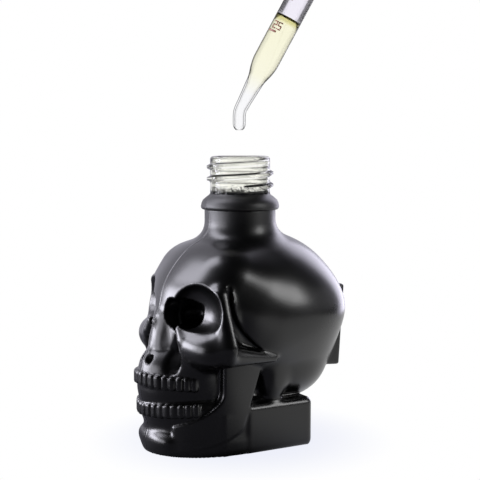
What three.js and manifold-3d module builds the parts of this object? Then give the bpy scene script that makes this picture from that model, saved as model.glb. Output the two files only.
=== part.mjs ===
// Skull-shaped bitters bottle with its dropper held, leaning, over the open mouth.
// Millimetres, +Z up, origin on the standing plane under the neck, face toward -Y.
import * as THREE from "three";
import { mergeVertices } from "three/addons/utils/BufferGeometryUtils.js";
import Module from "manifold-3d";

const wasm = await Module();
wasm.setup();

// Driving sizes of the bottle.
const SKULL_HALF_WIDTH = 21.5;
const SKULL_HALF_LENGTH = 26.2;
const SKULL_HALF_HEIGHT = 20.6;
const SKULL_CENTRE_Y = 2;
const SKULL_CENTRE_Z = 35;
const SKULL_WALL = 5;
const BROW_FRONT = 19.7;
const BROW_Z = 42;
const BROW_SLOPE = THREE.MathUtils.degToRad(31);
const PLINTH = 1.6;
const BLOCK_HALF_WIDTH = 15.6;
const BLOCK_HEIGHT = 11.4;
const JAW_FRONT = 28.2;
const TOOTH_PITCH = 1.9;
const TEETH_EACH_SIDE = 9;
const PANEL_HALF_WIDTH = 7.6;
const PANEL_HEIGHT = 22.5;
const PANEL_RISE = 0.1;
const PANEL_Y = SKULL_CENTRE_Y + SKULL_HALF_LENGTH + PANEL_RISE;
const PANEL_Z = 28.4;
const PANEL_LEAN = THREE.MathUtils.degToRad(4);
const FOOT_CUT = 0.6;
const SKULL_CELL = 1.95;
const CAVITY_CELL = 3.4;

// Neck, an 18 mm screw finish of eight threads to the inch.
const NECK_RISE = 19.4;
const RIM_Z = PLINTH + SKULL_CENTRE_Z + SKULL_HALF_HEIGHT + NECK_RISE;
const NECK_RADIUS = 8;
const NECK_WALL = 1.8;
const BORE_RADIUS = NECK_RADIUS - NECK_WALL;
const THREAD_DEPTH = 0.9;
const THREAD_RADIUS = NECK_RADIUS + THREAD_DEPTH;
const THREAD_PITCH = 3.175;
const THREAD_TURNS = 2.2;
const THREAD_ZONE = 10;
const BEAD_HEIGHT = 4.2;
const BEAD_REACH = 2.5;
const BEAD_RADIUS = NECK_RADIUS + BEAD_REACH;
const BEAD_TOP_Z = RIM_Z - THREAD_ZONE;
const BEAD_BOTTOM_Z = BEAD_TOP_Z - BEAD_HEIGHT;
const SHANK_STEP = 1;
const SHANK_RADIUS = BEAD_RADIUS - SHANK_STEP;

// Dropper.
const FIT = 0.3;
const LEAN = THREE.MathUtils.degToRad(28.3);
const LEAN_HEADING = THREE.MathUtils.degToRad(60);
const PIPETTE_DEPTH = 66;
const TIP_ABOVE_RIM = 8;
const AXIS_CROSS_ABOVE_RIM = 12.24;
const TUBE_RADIUS = 3.5;
const TUBE_WALL = 0.9;
const TUBE_BORE = TUBE_RADIUS - TUBE_WALL;
const TIP_RADIUS = 1.7;
const TIP_WALL = 0.9;
const TIP_BORE = TIP_RADIUS - TIP_WALL;
const BEND_START = 6;
const BEND_END = 2.8;
const TUBE_ABOVE_SEAT = 7;
const LIQUID_LEVEL = 32;
const MARK_COUNT = 4;
const MARK_FIRST = 27;
const MARK_LAST_BELOW_SEAT = 10.8;
const MARK_STEP = (PIPETTE_DEPTH - MARK_LAST_BELOW_SEAT - MARK_FIRST) / (MARK_COUNT - 1);
const MARK_TURN = THREE.MathUtils.degToRad(40);

const THREAD_ROOM = 1;
const COLLAR_WALL = 1.3;
const COLLAR_RADIUS = THREAD_RADIUS + THREAD_ROOM + COLLAR_WALL;
const SKIRT_LAP = 0.6;
const COLLAR_SKIRT = THREAD_ZONE + SKIRT_LAP;
const COLLAR_TOP = 4;
const COLLAR_ROOF = 1.6;
const COLLAR_RIBS = 24;
const BULB_RADIUS = 8.2;
const BULB_NECK = 6.2;
const BULB_FLANGE = 1.4;
const BULB_TOP = 45;
const BULB_WALL = 1.8;

// Distance fields, negative inside.
const mirror = (p) => [Math.abs(p[0]), p[1], p[2]];

function ellipsoid(p, c, r) {
  const a = (p[0] - c[0]) / r[0];
  const b = (p[1] - c[1]) / r[1];
  const d = (p[2] - c[2]) / r[2];
  const k0 = Math.hypot(a, b, d);
  const k1 = Math.hypot(a / r[0], b / r[1], d / r[2]);
  return k1 < 1e-9 ? -Math.min(...r) : (k0 * (k0 - 1)) / k1;
}

function box(p, c, h, round) {
  const q = [0, 1, 2].map((i) => Math.abs(p[i] - c[i]) - h[i] + round);
  const outside = Math.hypot(...q.map((v) => Math.max(v, 0)));
  return outside + Math.min(Math.max(...q), 0) - round;
}

// A round bar from a to b whose radius runs from ra to rb.
function bar(p, a, b, ra, rb) {
  const d = [0, 1, 2].map((i) => b[i] - a[i]);
  const v = [0, 1, 2].map((i) => p[i] - a[i]);
  const t = (v[0] * d[0] + v[1] * d[1] + v[2] * d[2]) / (d[0] ** 2 + d[1] ** 2 + d[2] ** 2);
  const s = Math.min(1, Math.max(0, t));
  return Math.hypot(v[0] - s * d[0], v[1] - s * d[1], v[2] - s * d[2]) - ra - s * (rb - ra);
}

// An upright prism with an elliptical outline.
function drum(p, c, r, z0, z1, round) {
  const a = (p[0] - c[0]) / r[0];
  const b = (p[1] - c[1]) / r[1];
  const k0 = Math.hypot(a, b);
  const k1 = Math.hypot(a / r[0], b / r[1]);
  const side = k1 < 1e-9 ? -Math.min(...r) : (k0 * (k0 - 1)) / k1;
  const end = Math.abs(p[2] - (z0 + z1) / 2) - (z1 - z0) / 2;
  return blendCut(side, end, round);
}

function blend(a, b, k) {
  const h = Math.max(k - Math.abs(a - b), 0) / k;
  return Math.min(a, b) - (h * h * k) / 4;
}

function blendCut(a, b, k) {
  return -blend(-a, -b, k);
}

const carve = (a, b, k) => blendCut(a, -b, k);

function skullField(point) {
  const p = mirror(point);
  p[2] -= PLINTH;
  const cz = SKULL_CENTRE_Z;
  const jaw = JAW_FRONT - 8;
  // Cranium, the wide back of the head, its underside, and the flat forehead that slopes back.
  const cranium = [SKULL_HALF_WIDTH, SKULL_HALF_LENGTH, SKULL_HALF_HEIGHT];
  let f = ellipsoid(p, [0, SKULL_CENTRE_Y, cz], cranium);
  f = blend(f, ellipsoid(p, [5, 7, cz - 1], [16.2, 21, 14]), 3);
  f = blend(f, ellipsoid(p, [0, 10, cz - 8.5], [16.5, 17.4, 17]), 4);
  f = blend(f, ellipsoid(p, [0, 9, cz - 17], [15, 14, 9]), 3);
  f = blend(f, forehead(p), 5);
  // Temples carved back behind the outer sides of the eye sockets.
  f = blend(f, bar(p, [17.6, -15.9, 40.4], [20.3, -14.6, 28], 2.2, 3), 2.5);
  f = carve(f, temple(p), 0.3);
  // Upper jaw, cheeks, lower jaw and chin.
  f = blend(f, drum(p, [0, -11], [12.8, 18.2], 10, 24.6, 6), 2);
  f = blend(f, ellipsoid(p, [14.2, -16.5, 26.8], [7, 6.2, 5.2]), 2.5);
  f = blend(f, bar(p, [9, -18, 27], [7.4, -17.4, 21], 5.4, 4.4), 4);
  f = blend(f, drum(p, [0, -8], [15.4, jaw], -PLINTH - 2, 4, 2.4), 1.2);
  f = blend(f, drum(p, [0, -8], [14, jaw - 0.4], -PLINTH - 2, 12, 2), 1);
  f = blend(f, drum(p, [0, -8], [14.4, jaw + 0.4], 7.4, 12, 2.4), 2);
  f = blend(f, ellipsoid(p, [2.5, 3.2 - JAW_FRONT, 2], [6, 3, 2.6]), 1.5);
  // Block that the head rests on.
  f = blend(f, blockField(p), 0.5);
  f = blend(f, box(p, [0, -8, 8], [12, 8, 7], 1), 1);
  f = blend(f, box(p, [0, -8, 3], [15.2, 6, 7], 1.5), 0.5);
  // Eye sockets: a wide dish with a deeper hole beside the nose.
  f = carve(f, ellipsoid(p, [14.4, -22.2, 36.8], [9, 5.8, 7.1]), 0.5);
  f = carve(f, box(p, [6, -18.4, 35.3], [4, 6, 4], 3.2), 0.3);
  // Nose and the hollow beside it.
  f = blend(f, bar(p, [0, -18.4, 40], [0, -21.8, 33], 1.6, 3.4), 1.5);
  f = blend(f, bar(p, [0, -21.8, 33], [0, -21.6, 27], 3.4, 4.2), 1);
  f = blend(f, bar(p, [0, -21.6, 27], [0, -22.6, 16], 4, 5.6), 4);
  f = carve(f, ellipsoid(p, [6.6, -25, 26.4], [1.7, 4.4, 6]), 1);
  // Cheek arch.
  f = blend(f, bar(p, [18.4, -13.6, 25.4], [18.4, -0.6, 23.6], 3, 0.9), 1.5);
  // Side plate of the lower jaw, and the knob behind it.
  f = blend(f, jawPlate(p), 0.5);
  f = blend(f, ellipsoid(p, [13, 2.4, 17.6], [3.2, 4, 6.4]), 2);
  // Nostril.
  f = carve(f, ellipsoid(p, [2, -28, 23.2], [1, 1.6, 1.2]), 0.4);
  // Shank of the neck.
  const shankTop = BEAD_BOTTOM_Z - PLINTH + 1;
  f = blend(f, drum(p, [0, 0], [SHANK_RADIUS, SHANK_RADIUS], 45, shankTop, 0.4), 4);
  // Rounded foot, which the flat base then cuts.
  return blendCut(f, -p[2] - PLINTH - FOOT_CUT, 2.4);
}

function forehead(p) {
  const c = Math.cos(BROW_SLOPE);
  const s = Math.sin(BROW_SLOPE);
  const up = (p[1] + BROW_FRONT) * s + (p[2] - BROW_Z) * c;
  const out = (p[2] - BROW_Z) * s - (p[1] + BROW_FRONT) * c;
  return box([p[0], up, out], [0, 4, -11], [SKULL_HALF_WIDTH - 3, 10, 11], 8);
}

// Wedge outside a flat facet that widens downward, behind the outer post of the eye socket.
function temple(p) {
  const down = Math.min(1.2, Math.max(0, (41 - p[2]) / 16));
  const facet = 0.963 * (p[0] - 18.2) - 0.22 * (p[1] + 2.7) - 0.152 * (p[2] - 25);
  const front = -14.7 + 1.1 * down - p[1];
  const rear = p[1] + 13.4 - 10.9 * down ** 2.2;
  return Math.max(-facet, front, 22 - p[2], rear);
}

function blockField(p) {
  const half = (BLOCK_HEIGHT + PLINTH) / 2 + 1;
  return box(p, [0, 3.2, BLOCK_HEIGHT - half], [BLOCK_HALF_WIDTH, 10.4, half], 1.8);
}

// Between a front edge that sweeps forward low down and a rear edge that leans back.
function jawPlate(p) {
  const front = -13.4 - 0.155 * Math.max(0, 15 - p[2]) ** 2;
  const rear = -4.4 + 0.38 * (p[2] - 14.4) - 0.35 * Math.max(0, 6 - p[2]) ** 2;
  const arch = drum(p, [0, -8], [BLOCK_HALF_WIDTH, JAW_FRONT - 8.2], -2, 25, 1.5);
  const plate = blendCut(arch, Math.max(front - p[1], p[1] - rear), 0.6);
  return blendCut(plate, 8 - p[0], 1);
}

function cavityField(point) {
  const p = mirror(point);
  p[2] -= PLINTH;
  const room = [SKULL_HALF_WIDTH - SKULL_WALL, SKULL_HALF_LENGTH - 8.8, SKULL_HALF_HEIGHT - 4.2];
  let f = ellipsoid(p, [0, 5, SKULL_CENTRE_Z], room);
  f = blend(f, ellipsoid(p, [0, 1, 15.4], [12, 10.4, 12.6]), 4);
  const bore = BORE_RADIUS + 1;
  return blend(f, drum(p, [0, 0], [bore, bore], 40, BEAD_BOTTOM_Z - PLINTH, 1), 5);
}

// Grid stops from low to high: fine as far as the turn, then coarse.
function stops(low, turn, high, fine, coarse) {
  const list = [];
  for (let v = low; v < turn; v += fine) list.push(v);
  for (let v = list.length ? list.at(-1) + coarse : low; v < high + coarse; v += coarse) list.push(v);
  return list;
}

// Closed mesh of a field: one vertex per grid cell the surface crosses, pulled onto it.
function polygonise(field, grid) {
  const n = grid.map((list) => list.length);
  const at = (i, j, k) => i + n[0] * (j + n[1] * k);
  const value = new Float64Array(n[0] * n[1] * n[2]);
  for (let k = 0; k < n[2]; k++)
    for (let j = 0; j < n[1]; j++)
      for (let i = 0; i < n[0]; i++) value[at(i, j, k)] = field([grid[0][i], grid[1][j], grid[2][k]]);
  settleSigns(value, n, at);
  const corner = [0, 1, 2, 3, 4, 5, 6, 7].map((c) => [c & 1, (c >> 1) & 1, c >> 2]);
  const cellVertex = new Map();
  const positions = [];
  for (let k = 0; k < n[2] - 1; k++)
    for (let j = 0; j < n[1] - 1; j++)
      for (let i = 0; i < n[0] - 1; i++) {
        const v = corner.map(([a, b, c]) => value[at(i + a, j + b, k + c)]);
        const inside = v.filter((x) => x < 0).length;
        if (inside === 0 || inside === 8) continue;
        const sum = [0, 0, 0];
        let crossings = 0;
        for (let c = 0; c < 8; c++)
          for (const bit of [1, 2, 4]) {
            const e = c | bit;
            if (e === c || v[c] < 0 === v[e] < 0) continue;
            const t = v[c] / (v[c] - v[e]);
            for (let d = 0; d < 3; d++) sum[d] += corner[c][d] + t * (corner[e][d] - corner[c][d]);
            crossings++;
          }
        const base = [i, j, k];
        const size = base.map((c, d) => grid[d][c + 1] - grid[d][c]);
        const p = sum.map((s, d) => grid[d][base[d]] + (s / crossings) * size[d]);
        cellVertex.set(at(i, j, k), positions.length / 3);
        positions.push(...pullOnto(field, p, size));
      }
  const index = [];
  const quad = (a, b, c, d, flip) => {
    const q = [a, b, c, d].map((id) => cellVertex.get(id));
    if (flip) q.reverse();
    index.push(q[0], q[1], q[2], q[0], q[2], q[3]);
  };
  for (let k = 1; k < n[2] - 1; k++)
    for (let j = 1; j < n[1] - 1; j++)
      for (let i = 1; i < n[0] - 1; i++) {
        const here = value[at(i, j, k)] < 0;
        if (here !== value[at(i + 1, j, k)] < 0)
          quad(at(i, j - 1, k - 1), at(i, j, k - 1), at(i, j, k), at(i, j - 1, k), !here);
        if (here !== value[at(i, j + 1, k)] < 0)
          quad(at(i - 1, j, k - 1), at(i - 1, j, k), at(i, j, k), at(i, j, k - 1), !here);
        if (here !== value[at(i, j, k + 1)] < 0)
          quad(at(i - 1, j - 1, k), at(i, j - 1, k), at(i, j, k), at(i - 1, j, k), !here);
      }
  const g = new THREE.BufferGeometry();
  g.setAttribute("position", new THREE.Float32BufferAttribute(positions, 3));
  g.setIndex(index);
  return g;
}

// Fills corners that would make two sheets meet at one edge or point.
function settleSigns(value, n, at) {
  const fill = (ids) => {
    const open = ids.filter((id) => value[id] >= 0);
    open.sort((a, b) => value[a] - value[b]);
    value[open[0]] = -1e-3;
  };
  for (let round = 0, again = true; again && round < 40; round++) {
    again = false;
    for (let k = 0; k < n[2] - 1; k++)
      for (let j = 0; j < n[1] - 1; j++)
        for (let i = 0; i < n[0] - 1; i++) {
          const ids = [];
          for (let c = 0; c < 8; c++) ids.push(at(i + (c & 1), j + ((c >> 1) & 1), k + (c >> 2)));
          if (joined(ids, value, true) && joined(ids, value, false)) continue;
          fill(ids);
          again = true;
        }
    for (let k = 0; k < n[2]; k++)
      for (let j = 0; j < n[1]; j++)
        for (let i = 0; i < n[0]; i++)
          for (const [a, b] of [[[1, 0, 0], [0, 1, 0]], [[1, 0, 0], [0, 0, 1]], [[0, 1, 0], [0, 0, 1]]]) {
            if (i + a[0] + b[0] >= n[0] || j + a[1] + b[1] >= n[1] || k + a[2] + b[2] >= n[2]) continue;
            const ids = [
              at(i, j, k),
              at(i + a[0], j + a[1], k + a[2]),
              at(i + a[0] + b[0], j + a[1] + b[1], k + a[2] + b[2]),
              at(i + b[0], j + b[1], k + b[2]),
            ];
            const s = ids.map((id) => value[id] < 0);
            if (s[0] !== s[2] || s[1] !== s[3] || s[0] === s[1]) continue;
            fill(ids);
            again = true;
          }
  }
}

// Whether a cell's corners of one sign hang together along its edges.
function joined(ids, value, inside) {
  const members = [0, 1, 2, 3, 4, 5, 6, 7].filter((c) => value[ids[c]] < 0 === inside);
  if (members.length < 2) return true;
  const seen = new Set([members[0]]);
  const queue = [members[0]];
  while (queue.length) {
    const c = queue.pop();
    for (const bit of [1, 2, 4]) {
      const e = c ^ bit;
      if (!members.includes(e) || seen.has(e)) continue;
      seen.add(e);
      queue.push(e);
    }
  }
  return seen.size === members.length;
}

function pullOnto(field, start, cell) {
  const p = [...start];
  const h = 0.05;
  for (let step = 0; step < 3; step++) {
    const f = field(p);
    const g = [0, 1, 2].map((d) => {
      const q = [...p];
      q[d] += h;
      return (field(q) - f) / h;
    });
    const size = Math.max(g[0] ** 2 + g[1] ** 2 + g[2] ** 2, 0.25);
    for (let d = 0; d < 3; d++) {
      const moved = p[d] - (f * g[d]) / size;
      p[d] = Math.min(start[d] + 0.4 * cell[d], Math.max(start[d] - 0.4 * cell[d], moved));
    }
  }
  return p;
}

// A solid from a geometry, turned right side out.
function solid(geometry) {
  const plain = new THREE.BufferGeometry();
  plain.setAttribute("position", geometry.getAttribute("position"));
  if (geometry.index) plain.setIndex(geometry.index);
  const merged = mergeVertices(plain, 1e-4);
  const triVerts = new Uint32Array(merged.index.array);
  const vertProperties = new Float32Array(merged.getAttribute("position").array);
  const made = new wasm.Manifold(new wasm.Mesh({ numProp: 3, vertProperties, triVerts }));
  if (made.volume() > 0) return made;
  for (let i = 0; i < triVerts.length; i += 3)
    [triVerts[i + 1], triVerts[i + 2]] = [triVerts[i + 2], triVerts[i + 1]];
  return new wasm.Manifold(new wasm.Mesh({ numProp: 3, vertProperties, triVerts }));
}

function geometryOf(made) {
  const m = made.getMesh();
  const g = new THREE.BufferGeometry();
  const v = new Float32Array(m.numVert * 3);
  for (let i = 0; i < m.numVert; i++)
    v.set(m.vertProperties.subarray(i * m.numProp, i * m.numProp + 3), i * 3);
  g.setAttribute("position", new THREE.BufferAttribute(v, 3));
  g.setIndex(new THREE.BufferAttribute(new Uint32Array(m.triVerts), 1));
  g.computeVertexNormals();
  return g;
}

// Turned solid about Z from [radius, height] points that close on the axis or on themselves.
function turned(points, segments) {
  const profile = points.map(([r, z]) => new THREE.Vector2(r, z));
  const g = new THREE.LatheGeometry(profile, segments);
  g.rotateX(Math.PI / 2);
  return solid(g);
}

// Skin over rings of points; a loop of rings joins its last to its first, else ends are capped.
function skin(rings, loop) {
  const n = rings[0].length;
  const positions = rings.flat(2);
  const index = [];
  const last = loop ? rings.length : rings.length - 1;
  for (let i = 0; i < last; i++)
    for (let j = 0; j < n; j++) {
      const a = i * n + j;
      const b = i * n + ((j + 1) % n);
      const c = ((i + 1) % rings.length) * n + j;
      const d = ((i + 1) % rings.length) * n + ((j + 1) % n);
      index.push(a, b, d, a, d, c);
    }
  if (!loop)
    for (let j = 1; j < n - 1; j++) {
      const e = (rings.length - 1) * n;
      index.push(0, j + 1, j, e, e + j, e + j + 1);
    }
  const g = new THREE.BufferGeometry();
  g.setAttribute("position", new THREE.Float32BufferAttribute(positions, 3));
  g.setIndex(index);
  return solid(g);
}

// Helical ridge whose ends run down into the wall; rise is signed, outward or inward.
function ridge(wall, rise, width, pitch, turns, z0, start, steps) {
  const rings = [];
  const total = Math.ceil(steps * turns);
  for (let i = 0; i <= total; i++) {
    const angle = start + (i / steps) * 2 * Math.PI;
    const fade = Math.min(1, i / (steps * 0.12), (total - i) / (steps * 0.12));
    const z = z0 + (i / steps) * pitch;
    const half = (width / 2) * (0.35 + 0.65 * fade);
    const sink = wall - Math.sign(rise) * 0.5;
    const crest = wall + rise * (fade - 0.1 * (1 - fade));
    const at = (r, dz) => [r * Math.cos(angle), r * Math.sin(angle), z + dz];
    rings.push([at(sink, -half), at(crest, -half * 0.35), at(crest, half * 0.35), at(sink, half)]);
  }
  return skin(rings, false);
}

// Angle round an arch at a length along it from the middle.
function archAngle(arch, length) {
  let angle = 0;
  const step = 0.002;
  for (let gone = 0; gone < length; angle += step)
    gone += Math.hypot(arch.rx * Math.cos(angle), arch.ry * Math.sin(angle)) * step;
  return angle;
}

// Blocks that stand out of the jaw, at an even pitch along their arch.
function teeth(arch) {
  const row = [];
  for (let i = 0; i < TEETH_EACH_SIDE; i++) {
    const length = (i + 0.5) * TOOTH_PITCH;
    const angle = archAngle(arch, length);
    const turn = Math.atan2(arch.ry * Math.sin(angle), arch.rx * Math.cos(angle));
    for (const side of [1, -1]) {
      const g = new THREE.BoxGeometry(0.86 * TOOTH_PITCH, 1.5, 3.5);
      g.rotateZ(side * turn);
      const x = side * arch.rx * Math.sin(angle);
      g.translate(x, arch.y - arch.ry * Math.cos(angle), PLINTH + arch.z + arch.rise * length);
      row.push(solid(g));
    }
  }
  return row;
}

function bottle() {
  const top = BEAD_BOTTOM_Z + 4;
  const skullGrid = [
    stops(-SKULL_HALF_WIDTH - 4, -99, SKULL_HALF_WIDTH + 4, 1, SKULL_CELL * 1.05),
    stops(-JAW_FRONT - 7, -9, SKULL_HALF_LENGTH + 8, SKULL_CELL * 0.85, SKULL_CELL * 1.6),
    stops(-4, SKULL_CENTRE_Z + 11, top, SKULL_CELL, SKULL_CELL * 1.6),
  ];
  const skull = solid(polygonise(skullField, skullGrid));
  const threadHeight = RIM_Z - BEAD_TOP_Z;
  const neck = turned(
    [
      [0, 50],
      [SHANK_RADIUS - 0.6, 50],
      [SHANK_RADIUS - 0.6, BEAD_BOTTOM_Z],
      [BEAD_RADIUS - 0.7, BEAD_BOTTOM_Z],
      [BEAD_RADIUS, BEAD_BOTTOM_Z + 0.7],
      [BEAD_RADIUS - 0.6, BEAD_BOTTOM_Z + 2.6],
      [NECK_RADIUS + 0.5, BEAD_TOP_Z - 0.3],
      [NECK_RADIUS, BEAD_TOP_Z],
      [NECK_RADIUS, RIM_Z - 1],
      [NECK_RADIUS - 0.3, RIM_Z - 0.3],
      [NECK_RADIUS - 0.9, RIM_Z],
      [0, RIM_Z],
    ],
    40,
  );
  const thread = ridge(
    NECK_RADIUS,
    THREAD_RADIUS - NECK_RADIUS,
    1.9,
    THREAD_PITCH,
    THREAD_TURNS,
    BEAD_TOP_Z + 0.16 * threadHeight,
    LEAN_HEADING - Math.PI / 2 + 0.1,
    28,
  );
  const cavityGrid = [
    stops(-SKULL_HALF_WIDTH, -99, SKULL_HALF_WIDTH, 1, CAVITY_CELL),
    stops(-SKULL_HALF_LENGTH, -99, SKULL_HALF_LENGTH + 4, 1, CAVITY_CELL),
    stops(0, -99, top, 1, CAVITY_CELL),
  ];
  const cavity = solid(polygonise(cavityField, cavityGrid));
  const bore = turned(
    [
      [0, 52],
      [BORE_RADIUS + 1.3, 52],
      [BORE_RADIUS + 1.3, BEAD_BOTTOM_Z - 1],
      [BORE_RADIUS, BEAD_TOP_Z],
      [BORE_RADIUS, RIM_Z - 0.5],
      [BORE_RADIUS + 0.6, RIM_Z + 1],
      [0, RIM_Z + 1],
    ],
    32,
  );
  const plate = new THREE.BoxGeometry(2 * PANEL_HALF_WIDTH, 12, PANEL_HEIGHT);
  plate.translate(0, -6, 0);
  plate.rotateX(-PANEL_LEAN);
  plate.translate(0, PANEL_Y, PLINTH + PANEL_Z);
  const under = new THREE.BoxGeometry(120, 120, 20);
  under.translate(0, 0, -10);
  let whole = skull.add(neck).add(thread).add(solid(plate)).subtract(solid(under));
  const upper = { y: -11, rx: 13, ry: 18.8, z: 18.3, rise: -0.06 };
  const lower = { y: -8, rx: 14.6, ry: JAW_FRONT - 7.2, z: 10, rise: 0.05 };
  for (const block of [...teeth(upper), ...teeth(lower)]) whole = whole.add(block);
  return geometryOf(whole.subtract(cavity.add(bore)));
}

// Dropper parts, in a frame whose +Z is the dropper's axis and whose origin is its seat on the rim.
const TIP_Z = -PIPETTE_DEPTH;

function circle(centre, tilt, radius, segments) {
  const ring = [];
  for (let i = 0; i < segments; i++) {
    const a = (i / segments) * 2 * Math.PI;
    const x = radius * Math.cos(a);
    const offset = [x * Math.cos(tilt), radius * Math.sin(a), x * Math.sin(tilt)];
    ring.push(centre.map((c, d) => c + offset[d]));
  }
  return ring;
}

// Centre and tilt of the pipette at a height above its tip; the tip bends to hang upright.
function pipetteAxis(height) {
  const bend = BEND_START - BEND_END;
  const t = Math.min(1, Math.max(0, (BEND_START - height) / bend));
  const straight = Math.max(0, BEND_END - height);
  const x = Math.tan(LEAN) * (bend * (t ** 3 - t ** 4 / 2) + straight);
  return [[x, 0, TIP_Z + height], LEAN * t * t * (3 - 2 * t)];
}

// Outer and bore radius of the pipette at stations above its tip.
const PIPETTE_STATIONS = [
  [0, TIP_RADIUS * 0.5, TIP_BORE * 0.8],
  [0.2, TIP_RADIUS * 0.75, TIP_BORE * 0.9],
  [0.6, TIP_RADIUS * 0.92, TIP_BORE],
  [1.6, TIP_RADIUS, TIP_BORE],
  [4.4, TIP_RADIUS, TIP_BORE],
  [6, TIP_RADIUS * 1.02, TIP_BORE],
  [9, TIP_RADIUS * 1.14, TIP_BORE * 1.2],
  [12, TIP_RADIUS * 1.28, TIP_BORE * 1.4],
  [14, TUBE_RADIUS * 0.68, TUBE_BORE * 0.58],
  [16.5, TUBE_RADIUS * 0.88, TUBE_BORE * 0.85],
  [18.5, TUBE_RADIUS * 0.98, TUBE_BORE * 0.98],
  [20, TUBE_RADIUS, TUBE_BORE],
  [PIPETTE_DEPTH + TUBE_ABOVE_SEAT - 0.5, TUBE_RADIUS, TUBE_BORE],
  [PIPETTE_DEPTH + TUBE_ABOVE_SEAT, TUBE_RADIUS - 0.4, TUBE_BORE + 0.2],
];

function pipette() {
  const ring = (column) => ([height, ...radii]) => {
    const [centre, tilt] = pipetteAxis(height);
    return circle(centre, tilt, radii[column], 20);
  };
  const outside = PIPETTE_STATIONS.map(ring(0));
  const inside = PIPETTE_STATIONS.map(ring(1)).reverse();
  return geometryOf(skin([...outside, ...inside], true));
}

function boreAt(height) {
  const i = PIPETTE_STATIONS.findIndex(([h]) => h > height);
  const [h0, , b0] = PIPETTE_STATIONS[i - 1];
  const [h1, , b1] = PIPETTE_STATIONS[i];
  return b0 + ((b1 - b0) * (height - h0)) / (h1 - h0);
}

function liquid() {
  const low = 13;
  const profile = [[0, TIP_Z + low]];
  for (const h of [low, 14, 16.5, 18.5, 20, LIQUID_LEVEL]) profile.push([boreAt(h) - FIT, TIP_Z + h]);
  profile.push([TUBE_BORE * 0.5, TIP_Z + LIQUID_LEVEL - 0.9], [0, TIP_Z + LIQUID_LEVEL - 1.2]);
  return geometryOf(turned(profile, 20));
}

function mark(height) {
  const rings = [];
  for (let i = 0; i <= 6; i++) {
    const a = -Math.PI / 2 - MARK_TURN + (i / 6 - 0.5) * 0.8;
    const at = (r, dz) => [r * Math.cos(a), r * Math.sin(a), TIP_Z + height + dz];
    const r0 = TUBE_RADIUS + 0.06;
    const r1 = TUBE_RADIUS + 0.22;
    rings.push([at(r0, -0.3), at(r1, -0.3), at(r1, 0.3), at(r0, 0.3)]);
  }
  return geometryOf(skin(rings, false));
}

function collar() {
  const inner = THREAD_RADIUS + THREAD_ROOM;
  const shape = new THREE.Shape();
  const count = COLLAR_RIBS * 4;
  for (let i = 0; i < count; i++) {
    const a = (i / count) * 2 * Math.PI;
    const r = COLLAR_RADIUS - (i % 4 < 2 ? 0 : 0.45);
    if (i === 0) shape.moveTo(r * Math.cos(a), r * Math.sin(a));
    else shape.lineTo(r * Math.cos(a), r * Math.sin(a));
  }
  shape.closePath();
  const ribbed = new THREE.ExtrudeGeometry(shape, {
    depth: COLLAR_SKIRT + COLLAR_TOP - 1.2,
    bevelEnabled: false,
  });
  ribbed.translate(0, 0, -COLLAR_SKIRT);
  const cap = turned(
    [
      [0, COLLAR_TOP - 3],
      [COLLAR_RADIUS - 0.5, COLLAR_TOP - 3],
      [COLLAR_RADIUS - 0.5, COLLAR_TOP - 1.2],
      [COLLAR_RADIUS - 1.4, COLLAR_TOP],
      [0, COLLAR_TOP],
    ],
    40,
  );
  const room = turned(
    [
      [0, -COLLAR_SKIRT - 1],
      [inner, -COLLAR_SKIRT - 1],
      [inner, COLLAR_TOP - COLLAR_ROOF],
      [BULB_NECK + FIT, COLLAR_TOP - COLLAR_ROOF],
      [BULB_NECK + FIT, COLLAR_TOP + 1],
      [0, COLLAR_TOP + 1],
    ],
    40,
  );
  const rise = -(inner - THREAD_RADIUS - 0.45);
  const thread = ridge(inner, rise, 1.4, THREAD_PITCH, 1.5, 1.5 - COLLAR_SKIRT, 0, 28);
  return geometryOf(solid(ribbed).add(cap).subtract(room).add(thread));
}

function bulb() {
  const seat = FIT;
  const hole = TUBE_RADIUS + FIT;
  const neck = BULB_NECK;
  const flange = BULB_NECK + BULB_FLANGE;
  const top = BULB_TOP;
  return geometryOf(
    turned(
      [
        [hole, seat],
        [flange, seat],
        [flange, COLLAR_TOP - COLLAR_ROOF - FIT],
        [neck, COLLAR_TOP - COLLAR_ROOF - FIT],
        [neck, COLLAR_TOP + 1],
        [BULB_RADIUS - 0.6, COLLAR_TOP + 4],
        [BULB_RADIUS, COLLAR_TOP + 10],
        [BULB_RADIUS - 0.5, top - 14],
        [BULB_RADIUS - 1.6, top - 6],
        [BULB_RADIUS - 3.6, top - 2],
        [BULB_RADIUS - 5.6, top - 0.5],
        [0, top],
        [0, top - BULB_WALL],
        [BULB_RADIUS - 6.2, top - BULB_WALL - 0.4],
        [BULB_RADIUS - 4.6, top - BULB_WALL - 2.6],
        [BULB_RADIUS - 3, top - 8],
        [BULB_RADIUS - BULB_WALL - 0.5, top - 15],
        [BULB_RADIUS - BULB_WALL, COLLAR_TOP + 11],
        [BULB_RADIUS - BULB_WALL - 0.7, COLLAR_TOP + 6],
        [hole, COLLAR_TOP + 4],
        [hole, seat],
      ],
      28,
    ),
  );
}

function piece(name, geometry, colour, roughness, opacity) {
  const material = new THREE.MeshStandardMaterial({ color: colour, roughness });
  material.name = name + "_finish";
  if (opacity < 1) {
    material.transparent = true;
    material.opacity = opacity;
  }
  const mesh = new THREE.Mesh(geometry, material);
  mesh.name = name;
  return mesh;
}

const object = new THREE.Group();
object.name = "bitters_dropper_bottle";
object.add(piece("glass_bottle", bottle(), 0x101012, 0.35, 1));

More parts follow.
